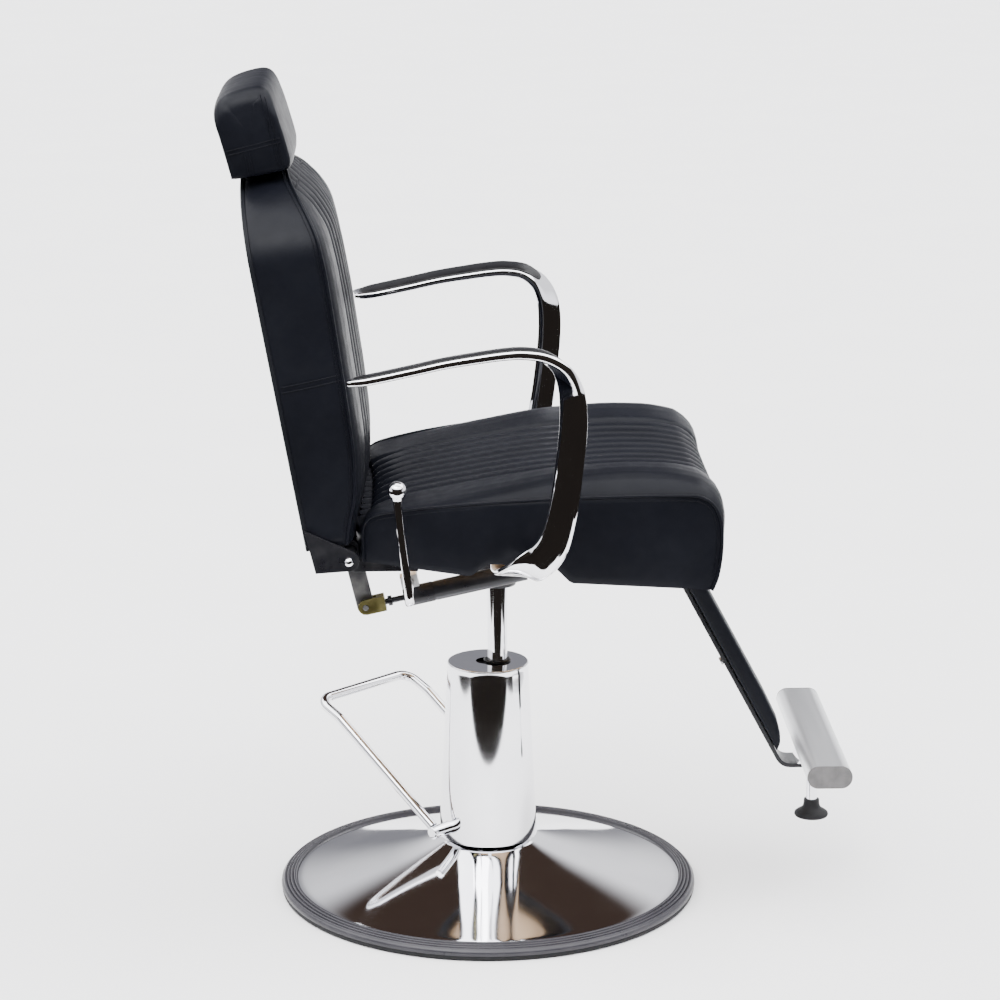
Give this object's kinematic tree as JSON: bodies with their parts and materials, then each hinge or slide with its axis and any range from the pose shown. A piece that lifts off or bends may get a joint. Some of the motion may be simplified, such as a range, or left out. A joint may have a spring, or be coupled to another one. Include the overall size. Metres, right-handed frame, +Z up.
{
  "type": "hydraulic barber chair",
  "caption": "Upholstered reclining chair with padded headrest, looped metal arms, footrest, foot-pump lift column and round floor base.",
  "frame": {"origin": "on the floor, at the centre of the flat underside of the round base", "axes": "+X towards the footrest, +Y towards the chair's left side, +Z up"},
  "size_m": [0.8676, 0.6864, 1.1717],
  "materials": {
    "black_leather": "soft satin",
    "chrome": "mirror polish",
    "black_paint": "satin black",
    "steel": "plain",
    "raw_steel": "dull dark",
    "yellow_zinc": "yellow passivated zinc",
    "black_rubber": "matt",
    "grey_trim": "semi-gloss ribbed",
    "aluminium": "satin",
    "grey_plastic": "matt",
    "black_plastic": "satin black",
    "plywood": "plain"
  },
  "bodies": {
    "base": {"base_plate": "steel", "floor_gasket": "black_rubber", "base_trim_ring": "grey_trim", "base_cover": "chrome", "pump_body": "black_paint", "pump_bolt_1": "steel", "pump_bolt_2": "steel", "pump_bolt_3": "steel", "pump_bolt_4": "steel", "cone_cover": "chrome", "cover_bush": "black_plastic"},
    "pedal": {"pedal_shaft": "chrome", "pedal_bar": "chrome", "pedal_cam": "steel"},
    "plunger": {"pump_plunger": "steel"},
    "lift": {"piston_rod": "chrome"},
    "seat": {"swivel_socket": "black_paint", "mount_plate": "black_paint", "seat_board": "plywood", "seat_cushion": "black_leather", "hinge_ear_left": "black_paint", "hinge_ear_right": "black_paint", "arm_left": "chrome", "arm_right": "chrome", "arm_pad_left": "black_plastic", "arm_pad_right": "black_plastic", "arm_bolt_left": "steel", "arm_bolt_right": "steel", "leg_bar": "black_paint", "leg_cover": "black_leather", "cover_screw": "steel", "footrest_tube": "aluminium", "footrest_cap_left": "grey_plastic", "footrest_cap_right": "grey_plastic", "footrest_saddle": "chrome", "footrest_stem": "chrome", "footrest_foot": "black_rubber", "strut_lug": "black_paint", "strut_pin": "raw_steel"},
    "backrest": {"hinge_tube": "black_paint", "side_plate_left": "black_paint", "side_plate_right": "black_paint", "hinge_bolt_left": "chrome", "hinge_bolt_right": "chrome", "lever_arm": "raw_steel", "clevis_pin": "raw_steel", "back_board": "black_leather", "rear_panel": "black_leather", "back_cushion": "black_leather", "headrest_sleeve": "black_paint"},
    "headrest": {"headrest_bar": "raw_steel", "headrest_cushion": "black_leather"},
    "strut_cylinder": {"strut_clevis": "yellow_zinc", "lock_nut": "black_paint", "strut_tube": "black_paint", "release_block": "aluminium"},
    "strut_piston": {"strut_rod": "chrome"},
    "release_lever": {"lever_rod": "chrome", "lever_knob": "chrome"}
  },
  "joints": [
    {"name": "seat_lift", "type": "slide", "parent": "base", "child": "lift", "axis": [0, 0, 1], "range_m": [-0.06, 0.08]},
    {"name": "seat_swivel", "type": "hinge", "parent": "lift", "child": "seat", "pos_m": [0.0135, 0, 0.5], "axis": [0, 0, 1], "continuous": true},
    {"name": "pump_pedal", "type": "hinge", "parent": "base", "child": "pedal", "pos_m": [-0.00983, 0.00983, 0.1], "axis": [-0.7071, -0.7071, 0], "range_deg": [0, 25], "stiffness_Nm_per_rad": 3, "springref_deg": -34.38},
    {"name": "pump_stroke", "type": "slide", "parent": "base", "child": "plunger", "axis": [0, 0, 1], "range_m": [0, 0.0125]},
    {"name": "backrest_recline", "type": "hinge", "parent": "seat", "child": "backrest", "pos_m": [-0.193, 0, 0.552], "axis": [0, -1, 0], "range_deg": [0, 35]},
    {"name": "headrest_height", "type": "slide", "parent": "backrest", "child": "headrest", "axis": [-0.1771, 0, 0.9842], "range_m": [0, 0.08]},
    {"name": "strut_swing", "type": "hinge", "parent": "backrest", "child": "strut_cylinder", "pos_m": [-0.172, -0.15, 0.464], "axis": [0, -1, 0], "range_deg": [-38.8, 0]},
    {"name": "strut_rod_swing", "type": "hinge", "parent": "seat", "child": "strut_piston", "pos_m": [0.1326, -0.15, 0.53153], "axis": [0, -1, 0], "range_deg": [-3.8, 0]},
    {"name": "release_handle", "type": "hinge", "parent": "strut_cylinder", "child": "release_lever", "pos_m": [-0.11182, -0.2, 0.49977], "axis": [0, -1, 0], "range_deg": [0, 12], "stiffness_Nm_per_rad": 0.8, "springref_deg": -17.19}
  ],
  "couplings": [
    {"joint": "pump_stroke", "follows": "pump_pedal", "m_per_rad": 0.0275},
    {"joint": "strut_swing", "follows": "backrest_recline", "ratio": -1.105},
    {"joint": "strut_rod_swing", "follows": "backrest_recline", "ratio": -0.105}
  ]
}
